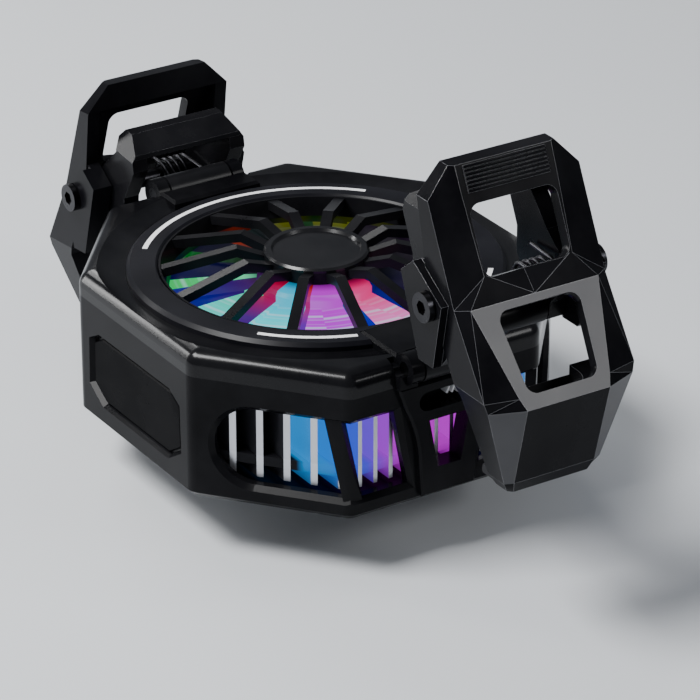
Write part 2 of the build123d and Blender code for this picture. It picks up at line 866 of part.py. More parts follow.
def front_cutter(points, turn, middle):
    """A window cutter square to a leaning face of the lever."""
    plane = Plane(origin=(middle[0], 0, middle[1]), x_dir=(0, 1, 0), z_dir=(cos(turn), 0, sin(turn)))
    with BuildPart() as made:
        with BuildSketch(plane) as drawn:
            with BuildLine():
                Polyline(*points, close=True)
            make_face()
            fillet(drawn.vertices(), radius=1.6)
        extrude(amount=8.0, both=True)
    return made.part


upper_lean = atan2(5.9, 12.6)
lower_lean = atan2(7.9, 11.5)
grip_lean = atan2(1.7, 3.7)
ribs = 7
rib_pitch = 0.52
rib_radius = 0.2
flange_inner = lever_half - lever_wall

# Plates round the hinge on each side of the lever: the flange, and the ear that stands off it
flange_outline = [(-6.2, 2.6), (-3.4, 4.9), (0.8, 6.5), (5.8, -2.5), (1.3, -8.2), (-2.0, -8.2)]
ear_outline = [(-6.2, 2.6), (-3.4, 4.9), (3.0, 0.9), (1.3, -8.2), (-2.0, -8.2)]

# Notch in the crossbar: two facets from the upper window's corners down to the middle of the fold
with BuildPart() as fold_notch:
    with BuildSketch(Plane.XY.offset(4.05)):
        with BuildLine():
            Polyline((7.5, -6.3), (3.7, -6.3), (1.9, 0.0), (3.7, 6.3), (7.5, 6.3), close=True)
        make_face()
    with BuildSketch(Plane.XY.offset(0.75)):
        with BuildLine():
            Polyline((7.5, -0.1), (5.3, -0.1), (5.2, 0.0), (5.3, 0.1), (7.5, 0.1), close=True)
        make_face()
    loft(ruled=True)

# Clip lever in its own frame, with the hinge at the origin
with BuildPart() as lever_form:
    add(lever_body(0, 7, 0, False))
    add(lever_body(1, 5, lever_wall, True), mode=Mode.SUBTRACT)
    add(
        front_cutter([(-6.6, 4.8), (6.6, 4.8), (6.6, -4.6), (-6.6, -4.6)], upper_lean, (1.9, 7.9)),
        mode=Mode.SUBTRACT,
    )
    add(
        front_cutter([(-6.3, 6.0), (6.3, 6.0), (5.3, -5.1), (-5.3, -5.1)], lower_lean, (9.1, -5.2)),
        mode=Mode.SUBTRACT,
    )
    add(fold_notch.part, mode=Mode.SUBTRACT)
    for side in (1, -1):
        add(side_shape(flange_outline, side * flange_inner, side * (lever_half - 0.2)))
        add(side_shape(ear_outline, side * (lever_half - 0.3), side * (lever_half + 1.1)))
    for rib in range(ribs):
        along = 0.45 + rib * rib_pitch
        with Locations((-2.3 + along * sin(grip_lean), 0, 17.0 - along * cos(grip_lean))):
            Cylinder(rib_radius, 12.4, rotation=(90, 0, 0))
    Cylinder(pin_radius + 0.06, through, rotation=(90, 0, 0), mode=Mode.SUBTRACT)

# Rubber pad on the inside of the jaw, with a hooked lip and grooves
pad_outline = [
    (5.45, -12.2),
    (6.35, -22.3),
    (6.55, -24.0),
    (2.9, -24.0),
    (3.1, -22.8),
    (4.7, -21.9),
    (4.1, -13.0),
]
with BuildPart() as pad_form:
    add(side_shape(pad_outline, -6.0, 6.0))
    chamfer(pad_form.edges().filter_by(Axis.Y).group_by(Axis.X)[0], length=0.3)
    for groove in range(5):
        with Locations((4.25 + 0.07 * groove, 0, -14.2 - 1.5 * groove)):
            Box(0.9, 20.0, 0.5, mode=Mode.SUBTRACT)

# Clip frame: two side legs and a top bar with cut corners
leg_outline = [
    (-11.0, 8.2),
    (-10.4, 10.5),
    (-7.3, 12.3),
    (-5.6, 12.3),
    (-4.9, 11.2),
    (-6.0, 9.4),
    (-2.0, 5.0),
    (0.9, 2.7),
    (2.3, 0.4),
    (1.6, -2.2),
    (-0.9, -5.0),
    (-1.2, -7.4),
    (-3.0, -8.3),
    (-4.9, -7.4),
    (-7.0, -3.6),
    (-8.6, -0.4),
    (-8.6, 3.0),
]
bar_outline = [
    (-10.6, 9.9),
    (-10.4, 10.5),
    (-7.3, 12.3),
    (-5.6, 12.3),
    (-5.3, 11.2),
    (-6.4, 10.8),
    (-9.5, 9.1),
]
with BuildPart() as frame_form:
    for side in (1, -1):
        add(side_shape(leg_outline, side * (frame_half - leg_thick), side * frame_half))
    add(side_shape(bar_outline, -frame_half + 0.5, frame_half - 0.5))
    for side in (1, -1):
        with BuildSketch(Plane.YZ.offset(-14.0)):
            with BuildLine():
                Polyline(
                    (side * (frame_half - 2.8), 14.0),
                    (side * (frame_half + 0.8), 14.0),
                    (side * (frame_half + 0.8), 8.6),
                    (side * frame_half, 9.6),
                    close=True,
                )
            make_face()
        extrude(amount=12.0, mode=Mode.SUBTRACT)
    Cylinder(pin_radius + 0.02, through, rotation=(90, 0, 0), mode=Mode.SUBTRACT)
    with Locations((link_u, 0, link_v)):
        Cylinder(small_pin + 0.02, through, rotation=(90, 0, 0), mode=Mode.SUBTRACT)

# Link between the body and the clip frame, lying along +X from its hinge on the body
link_rise = atan2(hinge_z_right + link_v - link_hinge_z, hinge_x + link_u - link_hinge_x)
link_length = hypot(hinge_x + link_u - link_hinge_x, hinge_z_right + link_v - link_hinge_z)
with BuildPart() as link_form:
    Cylinder(barrel, 2 * link_half, rotation=(90, 0, 0))
    with Locations((link_length, 0, 0)):
        Cylinder(barrel, 2 * link_barrel_half, rotation=(90, 0, 0))
    with Locations((link_length / 2, 0, 0)):
        Box(link_length - 1.0, 2 * link_half - 1.0, 2.2)
    with BuildSketch(Plane.XY.offset(-3.0)):
        with Locations((link_length / 2, 0)):
            SlotOverall(7.4, 3.6)
    extrude(amount=6.0, mode=Mode.SUBTRACT)
    Cylinder(small_pin + 0.05, through, rotation=(90, 0, 0), mode=Mode.SUBTRACT)
    with Locations((link_length, 0, 0)):
        Cylinder(small_pin + 0.05, through, rotation=(90, 0, 0), mode=Mode.SUBTRACT)

# Lever hinge pin with two socket heads
with BuildPart() as hinge_pin_form:
    Cylinder(pin_radius, 2 * (lever_half + 1.9), rotation=(90, 0, 0))
    for side in (1, -1):
        with Locations((0, side * (lever_half + 1.3), 0)):
            Cylinder(
                2.0, 0.8, rotation=(-90 * side, 0, 0), align=(Align.CENTER, Align.CENTER, Align.MIN)
            )
    with BuildSketch(Plane.XZ.offset(lever_half + 2.1), Plane.XZ.offset(-lever_half - 2.1)):
        RegularPolygon(1.0, 6)
    extrude(amount=0.6, both=True, mode=Mode.SUBTRACT)

# Torsion spring round the lever's hinge pin
coil_radius = 2.1
wire_radius = 0.3
coil_pitch = 1.05
coil_turns = 4
coil_start = frame_half - leg_thick - coil_turns * coil_pitch - 0.9
lever_leg = 1.9
frame_leg = 4.5


def coil_point(turn):
    """A place on the coil's centre line, turn counted from its start."""
    angle = 2 * pi * turn + pi / 2
    return Vector(coil_radius * cos(angle), coil_start + coil_pitch * turn, coil_radius * sin(angle))


def coil_tangent(turn):
    """The direction of the coil's centre line at that place."""
    angle = 2 * pi * turn + pi / 2
    around = 2 * pi * coil_radius
    return Vector(-around * sin(angle), coil_pitch, around * cos(angle)).normalized()


def biarc(start, along, end, out):
    """Two arcs that join smoothly between two places with their directions."""
    span = end - start
    both = along + out
    spread = 2 * (1 - along.dot(out))
    root = (span.dot(both) ** 2 + 2 * spread * span.dot(span) / 2) ** 0.5
    reach = (-span.dot(both) + root) / spread
    middle = (start + along * reach + end - out * reach) * 0.5
    cross = (end - out * reach - start - along * reach).normalized()
    TangentArc(start, middle, tangent=along)
    TangentArc(middle, end, tangent=cross)


with BuildPart() as spring_form:
    with BuildLine() as wire_path:
        first = coil_point(0)
        Line(first - coil_tangent(0) * lever_leg, first)
        for half in range(2 * coil_turns):
            biarc(
                coil_point(half / 2),
                coil_tangent(half / 2),
                coil_point((half + 1) / 2),
                coil_tangent((half + 1) / 2),
            )
        last = coil_point(coil_turns)
        Line(last, last + coil_tangent(coil_turns) * frame_leg)
    with BuildSketch(Plane(origin=wire_path.line @ 0, z_dir=wire_path.line % 0)):
        Circle(wire_radius)
    sweep()

# The spring's least gap to itself, measured between points along the wire
samples = 400
skipped = samples // 12
wire = wire_path.wire()
places = [wire @ (step / samples) for step in range(samples + 1)]
spans = [
    (places[near] - places[far]).length
    for near in range(samples + 1)
    for far in range(near + skipped, samples + 1)
]
turn_gap = min(spans) - 2 * wire_radius
print(f"torsion spring: least gap to itself {turn_gap:.2f} mm, volume {spring_form.part.volume:.1f}")

# The right clip stands raised on its link; the left clip hangs lowered and leans in a little
sides = [("right", 1, hinge_z_right, 0.0, 0.0), ("left", -1, hinge_z_left, left_frame_lean, left_lever_turn)]
for name, side, height, lean, turn in sides:
    pin_x = hinge_x + link_u - link_u * cos(radians(lean)) + link_v * sin(radians(lean))
    pin_z = height + link_v - link_u * sin(radians(lean)) - link_v * cos(radians(lean))
    lever_place = Location((side * pin_x, 0, pin_z), (0, side * turn, 0))
    frame_place = Location((side * pin_x, 0, pin_z), (0, -side * lean, 0))

    def handed(part):
        """The piece for this side of the body."""
        return part if side > 0 else mirrored(part)

    with BuildPart() as clip_lever:
        with Locations(lever_place):
            add(handed(lever_form.part))
    save(clip_lever.part, f"clip_lever_{name}")

    with BuildPart() as jaw_pad:
        with Locations(lever_place):
            add(handed(pad_form.part))
    save(jaw_pad.part, f"jaw_pad_{name}")

    with BuildPart() as clip_frame:
        with Locations(frame_place):
            add(handed(frame_form.part))
    save(clip_frame.part, f"clip_frame_{name}")

    with BuildPart() as lever_pin:
        with Locations(frame_place):
            add(hinge_pin_form.part)
    save(lever_pin.part, f"lever_pin_{name}")

    with BuildPart() as torsion_spring:
        with Locations(frame_place):
            add(handed(spring_form.part))
    save(torsion_spring.part, f"torsion_spring_{name}")

    with BuildPart() as frame_pin:
        with Locations((side * (hinge_x + link_u), 0, height + link_v)):
            Cylinder(small_pin, 2 * frame_half, rotation=(90, 0, 0))
    save(frame_pin.part, f"frame_pin_{name}")

    with BuildPart() as clip_link:
        swing = -degrees(link_rise)
        with Locations(Location((side * link_hinge_x, 0, link_hinge_z), (0, swing, 0))):
            add(handed(link_form.part))
    save(clip_link.part, f"clip_link_{name}")

    with BuildPart() as link_pin:
        with Locations((side * link_hinge_x, 0, link_hinge_z)):
            Cylinder(small_pin, 2 * (link_half + clear + lug_thick), rotation=(90, 0, 0))
    save(link_pin.part, f"link_pin_{name}")
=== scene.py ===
"""Clip-on phone cooling fan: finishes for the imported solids, the lit fan and a pale studio."""
import math

import bmesh
import bpy
from bpy.props import FloatProperty, FloatVectorProperty, IntProperty, PointerProperty
from mathutils import Matrix, Vector


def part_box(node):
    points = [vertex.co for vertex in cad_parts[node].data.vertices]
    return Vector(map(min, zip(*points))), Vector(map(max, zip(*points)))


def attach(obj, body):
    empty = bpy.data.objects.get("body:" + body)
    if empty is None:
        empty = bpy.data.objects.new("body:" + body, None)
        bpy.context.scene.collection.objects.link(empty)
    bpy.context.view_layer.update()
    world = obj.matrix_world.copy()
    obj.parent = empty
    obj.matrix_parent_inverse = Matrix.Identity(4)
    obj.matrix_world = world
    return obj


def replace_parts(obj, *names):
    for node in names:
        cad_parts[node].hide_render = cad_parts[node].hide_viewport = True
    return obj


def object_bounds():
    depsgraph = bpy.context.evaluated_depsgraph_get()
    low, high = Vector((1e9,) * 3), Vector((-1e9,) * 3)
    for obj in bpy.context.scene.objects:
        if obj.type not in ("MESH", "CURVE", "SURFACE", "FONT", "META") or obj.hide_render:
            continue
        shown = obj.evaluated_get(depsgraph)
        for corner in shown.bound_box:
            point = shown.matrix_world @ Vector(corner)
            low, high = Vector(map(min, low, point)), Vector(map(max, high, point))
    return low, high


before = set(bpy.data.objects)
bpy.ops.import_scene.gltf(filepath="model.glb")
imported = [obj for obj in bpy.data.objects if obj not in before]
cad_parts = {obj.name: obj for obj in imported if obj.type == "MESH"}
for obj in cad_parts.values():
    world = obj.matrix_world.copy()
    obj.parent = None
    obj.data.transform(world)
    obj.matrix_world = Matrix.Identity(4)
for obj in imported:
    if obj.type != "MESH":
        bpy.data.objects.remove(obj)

bl_info = {
    "name": "Phone cooling fan",
    "version": (1, 0, 0),
    "blender": (4, 5, 0),
    "location": "View3D > Sidebar > Cooler",
    "description": "Dresses a clip-on phone cooling fan with its finishes, lit fan and studio",
    "category": "Object",
}

CAD_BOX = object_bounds()
MM = 0.001
MERGE_DISTANCE = 0.000002
ORIGIN = (0.0, 0.0, 0.0)
BLACK = (0.0, 0.0, 0.0)


# Finishes

# Moulded plastics: colour, roughness and mirror level. The dark ones mirror very little, so that
# faces seen at a flat angle stay black over the pale floor.
PLASTICS = {
    "panel_gloss": ((0.0015, 0.0015, 0.002), 0.2, 0.012),
    "slot_rib_white": ((0.75, 0.75, 0.78), 0.35, 0.5),
    "slot_black": ((0.002, 0.002, 0.003), 0.4, 0.1),
    "ring_satin": ((0.004, 0.004, 0.006), 0.32, 0.13),
    "stripe_white": ((0.8, 0.8, 0.82), 0.4, 0.5),
    "grille_satin": ((0.004, 0.004, 0.005), 0.28, 0.1),
    "cap_satin": ((0.004, 0.004, 0.005), 0.22, 0.3),
    "ceramic_white": ((0.8, 0.8, 0.77), 0.5, 0.5),
    "lever_plastic": ((0.003, 0.003, 0.004), 0.22, 0.07),
    # painted sheen: the lever's own plastic made greyer and glossier, for faces chosen by the way
    # they face
    "lever_sheen_paint": ((0.02, 0.02, 0.024), 0.36, 0.5),
    # painted highlight for bevelled edges: the same black plastic made pale and fully mirroring
    "edge_highlight_paint": ((0.17, 0.17, 0.185), 0.25, 1.0),
    "frame_plastic": ((0.004, 0.004, 0.005), 0.24, 0.1),
    "link_plastic": ((0.005, 0.005, 0.006), 0.28, 0.14),
}
SHELL_MIRROR = 0.065
SHOULDER_ROUGHNESS = 0.18
SHOULDER_MIRROR = 0.19

# Metals: colour, roughness, and how closely the fine lines are packed along x, y and z
LINES_ALONG_X = (1.0, 40.0, 1.0)
LINES_LEVEL = (1.0, 1.0, 30.0)
METALS = {
    "shaft_steel": ((0.7, 0.7, 0.72), 0.25, LINES_ALONG_X),
    "bearing_bronze": ((0.6, 0.4, 0.2), 0.35, LINES_ALONG_X),
    "copper_wire": ((0.75, 0.36, 0.18), 0.3, LINES_ALONG_X),
    "magnet_dark": ((0.1, 0.1, 0.11), 0.5, LINES_ALONG_X),
    "fin_edge": ((0.62, 0.63, 0.67), 0.32, LINES_LEVEL),
    "cold_aluminium": ((0.78, 0.79, 0.8), 0.3, LINES_ALONG_X),
    "steel": ((0.62, 0.62, 0.64), 0.25, LINES_ALONG_X),
    "dark_steel": ((0.03, 0.03, 0.034), 0.3, LINES_ALONG_X),
    "spring_steel": ((0.045, 0.045, 0.05), 0.34, LINES_ALONG_X),
}

PAD_GREY = (0.2, 0.205, 0.215)
PAD_BLACK = (0.008, 0.008, 0.009)
BOARD_GREEN = (0.01, 0.07, 0.03)
TRACK_GREEN = (0.04, 0.2, 0.09)
CHIP_WHITE = (0.9, 0.88, 0.8)
CHIP_YELLOW = (0.8, 0.7, 0.3)
PAPER = (0.62, 0.64, 0.67)
PAPER_LIGHT = (0.66, 0.68, 0.7)


# The light painted in the fan

# The point that the painted sectors of light turn round, a little off the fan's axis
LIGHT_MIDDLE = (-4.0 * MM, 3.1 * MM)

# The sectors painted on the blades: the bright ones are the fan's light painted on, the dark ones
# are painted shadow where the blades shade each other. For each: the angle where it starts, in
# degrees (it runs to the next one's start), its colour near the hub and at the rim, and how
# strongly pale streaks show in it
SECTORS = (
    (-11, (0.85, 0.005, 0.16), (0.95, 0.2, 0.62), 1.0),
    (8, (0.0, 0.0, 0.16), (0.0, 0.002, 0.3), 0.0),
    (17, (0.0, 0.0, 0.01), (0.012, 0.0, 0.05), 0.0),
    (60, (0.0, 0.0, 0.0), (0.008, 0.0, 0.012), 0.0),
    (130, (0.03, 0.035, 0.0), (0.12, 0.14, 0.0), 0.15),
    (151, (0.0, 0.01, 0.0), (0.0, 0.05, 0.004), 0.0),
    (160, (0.03, 0.035, 0.0), (0.1, 0.11, 0.0), 0.15),
    (174, (0.0, 0.0, 0.0), (0.0, 0.008, 0.006), 0.0),
    (194, (0.0, 0.0, 0.0), (0.45, 0.03, 0.0), 0.0),
    (204, (0.0, 0.0, 0.0), (0.0, 0.0, 0.015), 0.0),
    (222, (0.0, 0.005, 0.0), (0.0, 0.1, 0.01), 0.1),
    (232, (0.0, 0.0, 0.012), (0.0, 0.0, 0.05), 0.0),
    (248, (0.1, 0.8, 0.4), (0.0, 0.6, 0.12), 0.6),
    (257, (0.05, 0.0, 0.1), (0.0, 0.0, 0.22), 0.0),
    (274, (0.0, 0.6, 0.22), (0.04, 0.8, 0.7), 1.0),
    (286, (0.5, 0.0, 0.05), (0.06, 0.0, 0.22), 0.0),
    (299.5, (0.0, 0.45, 0.8), (0.04, 0.9, 1.0), 1.0),
    (318.5, (0.6, 0.02, 0.02), (0.14, 0.0, 0.45), 0.0),
    (322, (0.6, 0.0, 0.75), (0.62, 0.0, 0.9), 1.0),
    (341, (0.0, 0.14, 0.2), (0.0, 0.004, 0.45), 0.0),
)
HUB_COLORS, RIM_COLORS, STREAK_LEVELS = 1, 2, 3
STREAK_COLOR = (0.62, 0.85, 1.0)

# Distances from the light's middle, in millimetres: where the painted glow comes in round the hub,
# the hub's colour turns into the rim's, the streaks come in, and the light painted in the duct ends
GLOW_STARTS = (8.0, 11.0)
COLORS_TURN = (10.0, 18.5)
STREAKS_START = (11.5, 16.0)
DUCT_LIGHT_ENDS = 21.6

# The pale streaks of painted light are two waves, in radians for each millimetre outwards; each is
# bent by noise and has its share of the sum
BROAD_WAVE = 1.9
BROAD_BEND = 3.0
BROAD_START = 1.0
BROAD_SHARE = 0.55
FINE_WAVE = 5.4
FINE_BEND = 6.0
FINE_DRIFT = 2.0
FINE_SHARE = 0.45
STREAK_FLOOR = -0.1
STREAK_PEAK = 0.62

# The light painted on the metal behind the vents, from the fins' ends (0) to their middle (1)
VENT_LIGHT = (
    (0.0, (0.0, 0.0, 0.0)),
    (0.32, (0.0, 0.0, 0.0)),
    (0.345, (0.005, 0.26, 0.7)),
    (0.43, (0.01, 0.24, 0.75)),
    (0.5, (0.02, 0.1, 0.75)),
    (0.6, (0.07, 0.06, 0.75)),
    (0.68, (0.26, 0.03, 0.7)),
    (0.78, (0.5, 0.01, 0.68)),
    (1.0, (0.52, 0.0, 0.62)),
)
# The same painted light on the sink's -x side
VENT_LIGHT_FAR = (
    (0.0, (0.0, 0.0, 0.0)),
    (0.32, (0.0, 0.0, 0.0)),
    (0.36, (0.01, 0.45, 0.25)),
    (0.6, (0.01, 0.32, 0.5)),
    (1.0, (0.03, 0.12, 0.7)),
)


# The heat sink

FIN_PITCH = 2.4 * MM
FIN_ENDS = 27.0 * MM
FIN_SIDES_END = 26.9 * MM
FIN_SIDE_FACING = 0.9
SINK_BASE_TOP = 8.0 * MM
SIDES_MEET = (-3.0 * MM, 3.0 * MM)
VENT_HEIGHTS = (4.7 * MM, 7.5 * MM)
UNDER_FAN = (18.0 * MM, 21.0 * MM)
# The fins' sides are painted in shade, much darker than the bare metal of their edges, and the gaps
# between the painted fin edges on the base darker still
FIN_SIDE_SHADE = (0.1, 0.1, 0.12)
FIN_GAP_SHADE = (0.01, 0.01, 0.012)
BARE_EDGE = (0.62, 0.63, 0.67)
STRIP_HALF = 0.125  # half the width of a bare strip, as a share of the pitch
PITCH_OFFSET = 100.5  # keeps the count of fins positive and puts the strips in line with them


# The rotor, in millimetres and degrees

CUP_OUTLINE = (
    (1.0, 20.9), (7.7, 20.9), (8.2, 20.4), (8.2, 16.3), (7.5, 16.3), (7.5, 19.9), (1.0, 19.9),
)
CUP_STEPS = 96
BLADES = 9
BLADE_CELLS = (10, 14)
BLADE_ROOT = 7.9
BLADE_START = 10.0
BLADE_SWEEP = 3.0
BLADE_OVERLAP = 1.06
BLADE_HEIGHT = 19.1
BLADE_RISE = 0.4
BLADE_ARCH = 0.1
BLADE_THICKNESS = 0.4


# The white ribs behind the slot in each clip boss, in millimetres and degrees

SLOT_BACKING = ((29.5, -5.6, 14.9), (30.25, 5.6, 18.0))
SLOT_BACKING_BEVEL = 0.15
RIB_COUNT = 5
RIB_REACH = (30.0, 31.6)
RIB_MIDDLE = 16.4
RIB_FIRST = 0.6
RIB_STEP = 0.85
RIB_HALF_WIDTH = 0.14
RIB_HALF_HEIGHT = 0.5
RIB_GROWTH = 0.09
RIB_TILT = -24.0
RIB_BEVEL = 0.06


# The moulded edges, in degrees and square metres

SHARP_ANGLE = 35.0
FLAT_ANGLE = 6.0
STEEP_CORNER = 24.0
SHALLOW_CORNER = 3.0
WIDE_FACET = 3.0 * MM * MM


# The lever faces given a painted sheen, greyer and glossier by the way they face: their least area,
# and the parts of their normals. Outwards is x on the right clip and -x on the left one, tilt is y
# either way, and rise is z.

PLATE_AREA = 12 * MM * MM
PLATE_OUTWARDS = 0.6
FRONT_TILT = 0.1
FRONT_RISE = (0.47, 0.7)
CHEEK_TILT = (0.25, 0.42)


# The stage: places in metres, sizes in metres, power in watts

FLOOR_REACH = 1.6
FLOOR_GAP = 0.0001
WORLD_COLOR = (0.75, 0.8, 0.88, 1.0)
WORLD_STRENGTH = 0.22
BODY_FOOT = (0.0, 0.0, 0.01)
RIGHT_CLIP = (0.055, 0.0, 0.033)
SOFTBOXES = (
    ("key", (-0.06, -0.30, 0.46), BODY_FOOT, (0.24, 0.16), 4.6),
    ("back", (-0.42, 0.02, 0.30), BODY_FOOT, (0.24, 0.05), 0.7),
    ("left", (-0.35, -0.25, 0.12), BODY_FOOT, (0.05, 0.24), 0.8),
    ("right", (0.361, 0.216, 0.28), RIGHT_CLIP, (0.14, 0.14), 0.6),
)
SENSOR_WIDTH = 36.0
NEAR_CLIP = 0.01
CAMERA_SHIFT = (4.59 * MM, 6.97 * MM)
FRAME_FOOT = 1.3 * MM


# Shader maths

TEXTURE_OBJECT = 3
BRICK_MORTAR = 1
MIX_FACTOR, MIX_FIRST, MIX_SECOND, MIX_COLOR = 0, 6, 7, 2


class Wire:
    """A node socket that grows Math nodes when it is used in an expression."""

    def __init__(self, paint, socket):
        self.paint = paint
        self.socket = socket

    def _math(self, operation, *values):
        return self.paint.node("ShaderNodeMath", {"operation": operation}, values)

    def __add__(self, other):
        return self._math("ADD", self, other)

    def __sub__(self, other):
        return self._math("SUBTRACT", self, other)

    def __rsub__(self, other):
        return self._math("SUBTRACT", other, self)

    def __mul__(self, other):
        return self._math("MULTIPLY", self, other)

    def __truediv__(self, other):
        return self._math("DIVIDE", self, other)

    def __lt__(self, other):
        return self._math("LESS_THAN", self, other)

    def root(self):
        return self._math("POWER", self, 0.5)

    def absolute(self):
        return self._math("ABSOLUTE", self)

    def fraction(self):
        return self._math("FRACT", self)

    def sine(self):
        return self._math("SINE", self)

    def angle_over(self, across):
        return self._math("ARCTAN2", self, across)


class Paint:
    """One material with its Principled shader, and short ways to add nodes to it."""

    def __init__(self, name, color, roughness, metallic=0.0, specular=0.5, coat=0.0):
        self.roughness = roughness
        self.material = bpy.data.materials.new(name)
        self.material.use_nodes = True
        self.material.diffuse_color = (*color, 1.0)
        self.tree = self.material.node_tree
        self.tree.nodes.clear()
        out = self.tree.nodes.new("ShaderNodeOutputMaterial")
        self.shader = self.tree.nodes.new("ShaderNodeBsdfPrincipled")
        self.tree.links.new(self.shader.outputs[0], out.inputs["Surface"])
        self.feed("Base Color", (*color, 1.0))
        self.feed("Roughness", roughness)
        self.feed("Metallic", metallic)
        self.feed("Specular IOR Level", specular)
        self.feed("Coat Weight", coat)
        self.feed("Coat Roughness", 0.1)

    def node(self, kind, settings, values=(), output=0):
        """Adds a node, sets it up, then fills its inputs by place or by name."""
        made = self.tree.nodes.new(kind)
        for key, value in settings.items():
            setattr(made, key, value)
        items = values.items() if isinstance(values, dict) else enumerate(values)
        for key, value in items:
            self.plug(made.inputs[key], value)
        return Wire(self, made.outputs[output])

    def plug(self, socket, value):
        if isinstance(value, Wire):
            self.tree.links.new(value.socket, socket)
        else:
            socket.default_value = value

    def feed(self, name, value):
        """Feeds one of the shader's sockets with a value or an expression."""
        self.plug(self.shader.inputs[name], value)

    def place(self):
        return self.node("ShaderNodeTexCoord", {}, output=TEXTURE_OBJECT)

    def axes(self):
        """The x, y and z of a point in the object's own space, in metres."""
        split = self.node("ShaderNodeSeparateXYZ", {}, [self.place()])
        return [Wire(self, output) for output in split.socket.node.outputs]

    def noise(self, scale, detail=3.0, rough=0.5, vector=None):
        sockets = {
            "Vector": vector or self.place(), "Scale": scale, "Detail": detail, "Roughness": rough,
        }
        return self.node("ShaderNodeTexNoise", {}, sockets)

    def ramp(self, value, stops, interpolation="LINEAR"):
        made = self.node("ShaderNodeValToRGB", {}, [value])
        ramp = made.socket.node.color_ramp
        ramp.interpolation = interpolation
        while len(ramp.elements) > 1:
            ramp.elements.remove(ramp.elements[-1])
        for index, (place, color) in enumerate(stops):
            element = ramp.elements[0] if index == 0 else ramp.elements.new(place)
            element.position = place
            element.color = (*color, 1.0)
        return made

    def mapped(self, value, low, high, to_low=0.0, to_high=1.0):
        return self.node("ShaderNodeMapRange", {}, [value, low, high, to_low, to_high])

    def mix(self, factor, first, second):
        """Blends two colours, each a wire or three numbers."""
        values = {MIX_FACTOR: factor}
        for socket, color in ((MIX_FIRST, first), (MIX_SECOND, second)):
            values[socket] = color if isinstance(color, Wire) else (*color, 1.0)
        return self.node("ShaderNodeMix", {"data_type": "RGBA"}, values, output=MIX_COLOR)

    def bump(self, height, strength, distance):
        values = {"Height": height, "Strength": strength, "Distance": distance}
        self.feed("Normal", self.node("ShaderNodeBump", {}, values))

    def swung(self, noise, swing):
        """The material's roughness, swung up and down by a noise."""
        return noise * swing + (self.roughness - swing / 2)

    def glow(self, share, color, strength):
        """Paints light on the surface as emission, in a colour, by a share from 0 to 1."""
        self.feed("Emission Color", self.mix(share, BLACK, color))
        self.feed("Emission Strength", strength)


def moulded(name, color, roughness, mirror):
    """Moulded plastic: fine grain, faint cloudy variation in gloss and shade."""
    paint = Paint(name, color, roughness, specular=mirror)
    cloud = paint.noise(scale=90.0, detail=4.0, rough=0.6)
    grain = paint.noise(scale=2600.0, detail=2.0, rough=0.6)
    light = tuple(min(1.0, value * 1.5 + 0.004) for value in color)
    paint.feed("Base Color", paint.mix(paint.mapped(cloud, 0.35, 0.7), color, light))
    paint.feed("Roughness", paint.swung(cloud, swing=0.14) + grain * 0.03)
    paint.bump(grain, strength=0.15, distance=0.000008)
    return paint.material


def plastic(name):
    return moulded(name, *PLASTICS[name])


def metal(name):
    """Metal with fine lines along one way and small changes in shine."""
    color, roughness, stretch = METALS[name]
    paint = Paint(name, color, roughness, metallic=1.0)
    sockets = {"Vector": paint.place(), "Scale": stretch}
    vector = paint.node("ShaderNodeMapping", {}, sockets)
    lines = paint.noise(scale=900.0, detail=3.0, rough=0.7, vector=vector)
    stain = paint.noise(scale=220.0, detail=3.0, rough=0.6)
    dark = tuple(value * 0.82 for value in color)
    paint.feed("Base Color", paint.mix(stain, color, dark))
    paint.feed("Roughness", paint.swung(lines, swing=0.2))
    paint.bump(lines, strength=0.3, distance=0.00001)
    return paint.material


def rubbery(name, color):
    """Soft matt rubber with a fine pitted surface."""
    paint = Paint(name, color, 0.72, specular=0.3)
    pits = paint.noise(scale=1500.0, detail=3.0, rough=0.65)
    cloud = paint.noise(scale=120.0)
    light = tuple(value * 1.6 for value in color)
    paint.feed("Base Color", paint.mix(cloud, color, light))
    paint.feed("Roughness", paint.swung(pits, swing=0.2))
    paint.bump(pits, strength=0.5, distance=0.00003)
    return paint.material


def circuit_board(name):
    """Green lacquered board with paler tracks."""
    paint = Paint(name, BOARD_GREEN, 0.35, coat=0.4)
    sockets = {"Vector": paint.place(), "Scale": 900.0, "Mortar Size": 0.06}
    tracks = paint.node("ShaderNodeTexBrick", {"offset": 0.5}, sockets, output=BRICK_MORTAR)
    cloud = paint.noise(scale=300.0)
    paint.feed("Base Color", paint.mix(tracks * 0.6, BOARD_GREEN, TRACK_GREEN))
    paint.feed("Roughness", paint.swung(cloud, swing=0.2))
    paint.bump(tracks, strength=0.3, distance=0.00002)
    return paint.material


def light_chip(name):
    """White chip with small yellow cells."""
    paint = Paint(name, CHIP_WHITE, 0.3)
    cells = paint.noise(scale=1800.0)
    paint.feed("Base Color", paint.mix(cells, CHIP_WHITE, CHIP_YELLOW))
    paint.feed("Roughness", paint.swung(cells, swing=0.2))
    return paint.material


def floor_paper(name):
    """Pale matt paper, slightly uneven."""
    paint = Paint(name, PAPER, 0.7, specular=0.2)
    paint.feed("Base Color", paint.mix(paint.noise(scale=12.0), PAPER, PAPER_LIGHT))
    return paint.material


def turn_and_radius(paint):
    """The turn round the light's middle, from 0 to 1, and the distance from it in millimetres."""
    x, y, _ = paint.axes()
    across = x - LIGHT_MIDDLE[0]
    along = y - LIGHT_MIDDLE[1]
    turn = (along.angle_over(across) / (2 * math.pi) + 1.0).fraction()
    radius = (across * across + along * along).root() * (1.0 / MM)
    return turn, radius


def sector_stops(column):
    """Colour stops, one at each sector's start, from a column of the table."""
    stops = []
    for sector in SECTORS:
        value = sector[column]
        shade = value if isinstance(value, tuple) else (value, value, value)
        stops.append(((sector[0] % 360.0) / 360.0, shade))
    stops.sort()
    return [(0.0, stops[-1][1])] + stops


